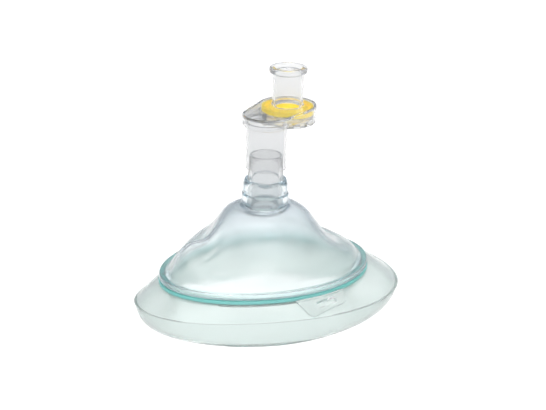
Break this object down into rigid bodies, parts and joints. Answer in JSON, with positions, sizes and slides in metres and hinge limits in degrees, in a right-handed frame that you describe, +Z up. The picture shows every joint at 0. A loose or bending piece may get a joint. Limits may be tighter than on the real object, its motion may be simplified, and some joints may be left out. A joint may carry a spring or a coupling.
{
  "type": "pocket resuscitation mask",
  "caption": "Clear resuscitation face mask with a domed shell, air-filled cushion, strap lugs and an offset one-way valve with a mouthpiece tube and a yellow diaphragm.",
  "frame": {"origin": "centre of the face cushion's outline, on the plane of the cushion's contact ring", "axes": "+X from the nose end to the chin end, +Y across the face, +Z up along the neck away from the face"},
  "size_m": [0.1316, 0.1, 0.115],
  "materials": {
    "clear_shell": "clear glossy PVC with a faint blue-grey tint",
    "cushion_vinyl": "soft translucent vinyl with a faint mint tint",
    "bond_teal": "tinted translucent bond bead",
    "clear_valve": "water-clear polished moulding",
    "yellow_silicone": "satin yellow silicone"
  },
  "bodies": {
    "mask": {"mask_cuff": "cushion_vinyl", "seam_ring": "bond_teal", "mask_dome": "clear_shell", "strap_lug_near": "clear_shell", "strap_lug_far": "clear_shell", "inflation_port": "cushion_vinyl"},
    "plug": {"port_plug": "clear_valve"},
    "connector": {"neck_connector": "clear_valve"},
    "valve": {"valve_body": "clear_valve", "valve_cover": "clear_valve", "diaphragm_support": "clear_valve", "diaphragm_rim": "yellow_silicone", "diaphragm_web": "yellow_silicone"},
    "disc": {"diaphragm_disc": "yellow_silicone"}
  },
  "joints": [
    {"name": "neck_swivel", "type": "hinge", "parent": "mask", "child": "connector", "pos_m": [0.0004, 0, 0.06], "axis": [0, 0, 1], "continuous": true},
    {"name": "valve_pull", "type": "slide", "parent": "connector", "child": "valve", "axis": [0, 0, 1], "range_m": [0, 0.02]},
    {"name": "diaphragm_open", "type": "slide", "parent": "valve", "child": "disc", "axis": [0, 0, -1], "range_m": [0, 0.0014], "stiffness_N_per_m": 40, "springref_m": -0.0005, "deforming": ["diaphragm_web"]},
    {"name": "plug_pull", "type": "slide", "parent": "mask", "child": "plug", "axis": [0.6749, 0.7379, 0], "range_m": [0, 0.01]}
  ]
}
